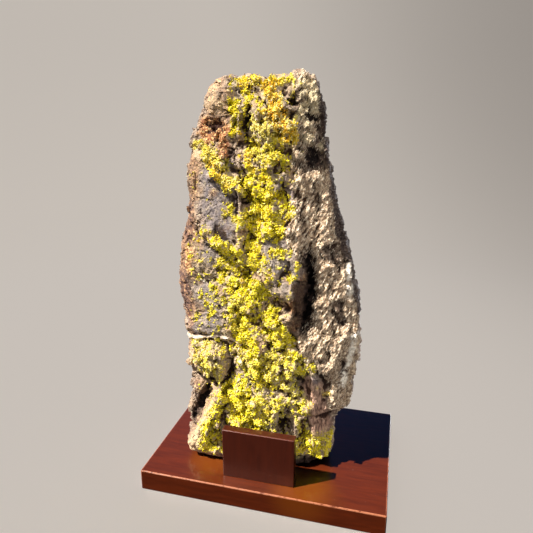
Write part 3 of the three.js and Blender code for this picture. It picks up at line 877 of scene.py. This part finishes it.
class Growth(Graph):
    """Scatters a shape over the rock, for one piece."""

    def __init__(self, name):
        super().__init__(bpy.data.node_groups.new(name, "GeometryNodeTree"))
        self.tree.interface.new_socket("Geometry", in_out="INPUT", socket_type="NodeSocketGeometry")
        self.tree.interface.new_socket("Geometry", in_out="OUTPUT", socket_type="NodeSocketGeometry")
        self.soil = self.node("NodeGroupInput")
        self.place = self.node("GeometryNodeInputPosition")

    def share(self, name):
        """A share that the rock's mesh keeps."""
        return self.node("GeometryNodeInputNamedAttribute", {"Name": name}, data_type="FLOAT")

    def chance(self, low, high, seed):
        inputs = {2: low, 3: high, "Seed": seed}
        return self.node("FunctionNodeRandomValue", inputs, out=1, data_type="FLOAT")

    def vector(self, operation, a, b=(0, 0, 0), **inputs):
        return self.node("ShaderNodeVectorMath", {0: a, 1: b, **inputs}, operation=operation)

    def drift(self, size, strength, seed):
        """A direction that changes slowly over the rock."""
        moved = self.vector("ADD", self.place, (seed, seed, seed))
        inputs = {"Vector": moved, "Scale": 1 / (size * MM), "Detail": 1.0}
        swirl = self.node("ShaderNodeTexNoise", inputs, out="Color")
        centred = self.vector("SUBTRACT", swirl, (0.5, 0.5, 0.5))
        return self.vector("SCALE", centred, Scale=strength)


def growth(name, shape, share, spacing, heights, girth, length, lean, seed, along=None):
    """The node tree that grows the shape on a mesh, between two heights. All sizes are millimetres.
    Along is a direction to lie in. Without one, the shapes stand up."""
    g = Growth(name)
    height = g.node("ShaderNodeSeparateXYZ", {0: g.place}, out="Z")
    above = g.maths("GREATER_THAN", height, BOARD_TOP + heights[0] * MM)
    below = g.maths("LESS_THAN", height, BOARD_TOP + heights[1] * MM)
    factor = g.maths("MULTIPLY", g.share(share), g.maths("MULTIPLY", above, below))
    inputs = {"Mesh": g.soil, "Distance Min": spacing * MM, "Seed": seed,
              "Density Max": CROWDING / (spacing * MM) ** 2, "Density Factor": factor}
    points = g.node("GeometryNodeDistributePointsOnFaces", inputs, distribute_method="POISSON")
    upright = g.vector("ADD", points.node.outputs["Normal"], UPWARD)
    direction = g.vector("ADD", along or upright, g.drift(LEAN_LUMPS, lean, seed))
    jitter = g.node("FunctionNodeRandomValue", {0: (-JITTER,) * 3, 1: (JITTER,) * 3, "Seed": seed + 1},
                    data_type="FLOAT_VECTOR")
    direction = g.vector("ADD", direction, jitter)
    turn = g.node("FunctionNodeAlignRotationToVector", {"Vector": direction}, axis="Z")
    spin = g.node("ShaderNodeCombineXYZ", {"Z": g.chance(0.0, math.tau, seed + 2)})
    turn = g.node("FunctionNodeRotateRotation", {"Rotation": turn, "Rotate By": spin},
                  rotation_space="LOCAL")
    vigour = g.node("ShaderNodeMapRange", {"Value": g.share(share), "To Min": VIGOUR[0],
                                           "To Max": VIGOUR[1]})
    wide = g.maths("MULTIPLY", g.chance(*girth, seed + 3), vigour)
    tall = g.maths("MULTIPLY", g.chance(*length, seed + 4), vigour)
    size = g.node("ShaderNodeCombineXYZ", {"X": wide, "Y": wide, "Z": tall})
    size = g.vector("SCALE", size, Scale=MM)
    info = g.node("GeometryNodeObjectInfo", {"Object": shape}, out="Geometry")
    inputs = {"Points": points, "Instance": info, "Rotation": turn, "Scale": size}
    grown = g.node("GeometryNodeInstanceOnPoints", inputs)
    inputs = {"Geometry": grown, "Name": "tint", "Value": g.chance(0.0, 1.0, seed + 6)}
    grown = g.node("GeometryNodeStoreNamedAttribute", inputs, data_type="FLOAT", domain="INSTANCE")
    grown = g.node("GeometryNodeRealizeInstances", {"Geometry": grown})
    g.node("NodeGroupOutput", {"Geometry": grown})
    return g.tree


def grow(name, material, **settings):
    """Grows one piece on the rock."""
    piece = bpy.data.objects.new(name, rock.data)
    scene.collection.objects.link(piece)
    add_modifier(piece, "NODES", node_group=growth(name, **settings))
    take_mesh(piece)
    piece.data.materials.clear()
    piece.data.materials.append(material)
    print(name, "has", triangles(piece), "triangles")
    return piece


# %% [markdown]
# ## Crystal finish
# Pyromorphite is a lead mineral with a high index of refraction, but a crust this fine scatters the
# light, so the finish is rough and its highlight weak. An orange band crosses the top of the lemon
# face. Each crystal has its own chance tint, noise shifts whole clusters, each is darker at its root,
# partly deeper colour and partly painted shade, and each is olive in a hollow as painted shade.

# %% Crystal finish
def crystal_finish():
    f = Finish("pyromorphite")
    tint = f.share("tint")
    patch = f.grain(9, detail=2.0)
    fleck = f.grain(2.0, detail=2.0)
    lemon = f.shades(tint, (0.0, 222, 206, 28), (0.3, 240, 226, 28), (0.7, 250, 236, 52),
                     (1.0, 254, 246, 150))
    lemon = f.mix(f.step(fleck, 0.42, 0.32), lemon, paint(198, 178, 52))
    lemon = f.mix(f.step(fleck, 0.6, 0.72), lemon, paint(250, 238, 130))
    lemon = f.mix(f.step(patch, 0.46, 0.36), lemon, paint(214, 202, 30))
    pale = f.shades(tint, (0.0, 190, 172, 84), (0.5, 236, 224, 136), (1.0, 250, 242, 200))
    lemon = f.mix(f.share("pale"), lemon, pale)
    warm = f.shades(tint, (0.0, 250, 172, 14), (0.45, 255, 206, 48), (0.75, 255, 230, 110),
                    (1.0, 255, 246, 200))
    warmth = f.maths("ADD", f.share("orange"), f.step(patch, 0.6, 0.75))
    colour = f.mix(f.maths("MULTIPLY", warmth, 0.7, clamp=True), lemon, warm)
    # The root is darker, partly deeper colour and partly painted shade where the crystal meets the rock.
    root = f.step(f.share("tip"), 0.75, 0.15)
    colour = f.mix(root, colour, paint(246, 236, 196), blend="MULTIPLY")
    # Painted shade: crystals in hollows go olive-dark.
    painted_hollow_shade = f.step(f.share("hollow"), 0.45, 0.85)
    colour = f.mix(painted_hollow_shade, colour, paint(184, 176, 118), blend="MULTIPLY")
    return f.finish(Base_Color=colour, Roughness=0.6, IOR=1.6, Specular_IOR_Level=0.18)


# %% Four pieces of crust
CRYSTAL_PIECES = {
    "crystals_top": (244, 400),
    "crystals_middle": (152, 244),
    "crystals_lower": (76, 152),
    "crystals_foot": (-5, 76),
}
lemon_yellow = crystal_finish()
crystals = [
    grow(name, lemon_yellow, shape=crystal_shape, share="crust", spacing=1.05, heights=heights,
         girth=(0.3, 0.66), length=(1.2, 2.6), lean=1.3, seed=number * 10)
    for number, (name, heights) in enumerate(CRYSTAL_PIECES.items())
]
bpy.data.objects.remove(crystal_shape)

# %% [markdown]
# ## Quartz chips
# The right side is a felt of quartz fibres broken short. An elongated chip of twenty flat faces
# stands for each broken end, laid along the fibres. It is an icosphere made uneven by noise.

# %% Quartz chips
CHIP_UNEVENNESS = 0.3
UNEVENNESS_SCALE = 3.1


def chip():
    bm = bmesh.new()
    bmesh.ops.create_icosphere(bm, subdivisions=1, radius=1.0)
    for vert in bm.verts:
        vert.co *= 1 + CHIP_UNEVENNESS * noise.noise(vert.co * UNEVENNESS_SCALE)
    return bm


def chip_finish():
    f = Finish("quartz_chips")
    colour = f.shades(f.share("tint"), (0.0, 112, 90, 74), (0.35, 188, 162, 134), (0.75, 230, 209, 180),
                      (1.0, 250, 238, 216))
    colour = f.mix(f.share("pale", 0.8), colour, paint(238, 226, 184))
    # Chips in hollows are darkened, as painted shade with some stain as on the rock.
    hollow_shade_and_stain = f.step(f.share("hollow"), 0.6, 1.0)
    colour = f.mix(hollow_shade_and_stain, colour, paint(110, 90, 80), blend="MULTIPLY")
    return f.finish(Base_Color=colour, Roughness=0.6, Normal=f.bump(f.grain(0.5), 0.3))


chip_shape = piece_of(chip(), "chip_shape")
chips = grow("quartz_chips", chip_finish(), shape=chip_shape, share="quartz", spacing=1.15,
             heights=(-5, 400), girth=(0.2, 0.42), length=(1.0, 2.6), lean=1.1, seed=50,
             along=tuple(FIBRE))
bpy.data.objects.remove(chip_shape)

# %% [markdown]
# ## Woodwork
# The board and the plate are planed blocks with eased edges. Each starts as a cube scaled to its
# solid's box, its edges are bevelled, and each flat is inset a little, which leaves a band beside
# the edge. Lacquer rubs thin on an edge, and the sun catches the bevel there, so a share of wear is
# full on the bevels of the top's front and right edges, and fades over that band. It marks both real
# wear and a painted highlight.

# %% Board and plate
EDGE_SEGMENTS = 3
WEAR_AND_HIGHLIGHT_BAND = 0.2


def block(node, name, ease):
    """A planed block in place of that node, its edges eased by so many millimetres."""
    low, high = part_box(node)
    bm = bmesh.new()
    bmesh.ops.create_cube(bm, size=1.0)
    bmesh.ops.scale(bm, verts=bm.verts, vec=high - low)
    bmesh.ops.translate(bm, verts=bm.verts, vec=(low + high) / 2)
    bmesh.ops.bevel(bm, geom=bm.edges[:], offset=ease * MM, affect="EDGES", segments=EDGE_SEGMENTS,
                    profile=0.5, material=-1)
    flats = sorted(bm.faces, key=lambda face: face.calc_area())[-6:]
    # The wear share marks real wear and a painted highlight of the sun on the bevel.
    wear = bm.verts.layers.float.new("wear")
    near = 1.5 * ease * MM
    for vert in bm.verts:
        on_top = vert.co.z > high.z - near
        at_front = vert.co.y < low.y + near
        at_right = vert.co.x > high.x - near
        vert[wear] = float(on_top and (at_front or at_right))
    bmesh.ops.inset_individual(bm, faces=flats, thickness=WEAR_AND_HIGHLIGHT_BAND * MM)
    for vert in {vert for flat in flats for vert in flat.verts}:
        vert[wear] = 0.0
    piece = piece_of(bm, name)
    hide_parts(node)
    print(name, "has", len(piece.data.polygons), "faces")
    return piece


board = block("base_board", "lacquered_board", ease=1.0)
plate = block("front_plate", "wooden_plate", ease=0.8)

# %% [markdown]
# ## Wood finish
# Stained hardwood under gloss lacquer: the grain is noise drawn out along the board, the pores are
# finer and shorter streaks, and the lacquer is a clear coat that has its own, smoother shine. The
# stain is maroon on the board and nearly black on the plate. Two amber spots near the board's front
# are painted reflection of the yellow crust in the lacquer, and an edge is orange where it is rubbed
# and where a painted highlight stands for the sun on its bevel.

# %% Wood finish
# Painted reflection: the amber of the yellow crust as mirrored in the lacquer near the front.
PAINTED_REFLECTION = paint(106, 50, 10)
DUST = paint(190, 160, 150)


def wood_finish(name, dark, light, worn, shine, stretch, reflection_spots=()):
    """Stained wood, with its grain drawn out along the axis that is stretched least.
    A spot of painted reflection is x, y and a radius, in millimetres on the board's top."""
    f = Finish(name)
    figure = f.grain(30, detail=3.0, stretch=stretch, Distortion=0.6)
    pores = f.grain(3.0, detail=2.0, stretch=stretch)
    colour = f.shades(figure, (0.3, *dark), (0.7, *light))
    colour = f.mix(f.step(pores, 0.56, 0.7), colour, f.mix(0.5, colour, paint(*dark)))
    # Each spot is painted reflection of the crust, amber over the maroon stain.
    for x, y, reach in reflection_spots:
        inputs = {0: f.place, 1: (x * MM, y * MM, BOARD_TOP)}
        apart = f.node("ShaderNodeVectorMath", inputs, out="Value", operation="DISTANCE")
        colour = f.mix(f.step(apart, reach * MM, 0.3 * reach * MM), colour, PAINTED_REFLECTION)
    # Rubbed edges go orange, partly real wear and partly painted highlight.
    rubbed_and_lit = f.maths("MULTIPLY", f.share("wear"), f.step(f.grain(2.2, detail=3.0), 0.25, 0.5))
    colour = f.mix(f.maths("MULTIPLY", rubbed_and_lit, 0.75), colour, worn)
    dust = f.step(f.grain(1.4, detail=1.0), 0.8, 0.84)
    colour = f.mix(f.maths("MULTIPLY", dust, 0.5), colour, DUST)
    rough = {"Value": f.grain(12, detail=3.0), "To Min": 0.28, "To Max": 0.42}
    rough = f.node("ShaderNodeMapRange", rough)
    return f.finish(Base_Color=colour, Roughness=rough, Coat_Weight=shine, Coat_Roughness=0.1,
                    Normal=f.bump(pores, 0.05))


# Two spots near the front are painted reflection of the crust in the lacquer.
board.data.materials.append(wood_finish(
    "lacquered_board", dark=(76, 28, 8), light=(94, 36, 12), worn=paint(184, 116, 84), shine=0.8,
    stretch=(1, 9, 9), reflection_spots=[(-50, -42, 26), (36, -62, 34)]))
plate.data.materials.append(wood_finish(
    "dark_plate", dark=(60, 23, 13), light=(74, 29, 16), worn=paint(98, 46, 34), shine=0.4,
    stretch=(9, 9, 1)))

# %% [markdown]
# ## Riding and light
# Every piece rides on the one body. The sun and the low back card reach every piece, and the other
# cards the rock and what grows on it.

# %% Riding and sunlight
for piece in (rock, *crystals, chips, board, plate):
    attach(piece, "root")
    sunlit.objects.link(piece)
    backlit.objects.link(piece)
for piece in (rock, *crystals, chips):
    cardlit.objects.link(piece)
    highlit.objects.link(piece)
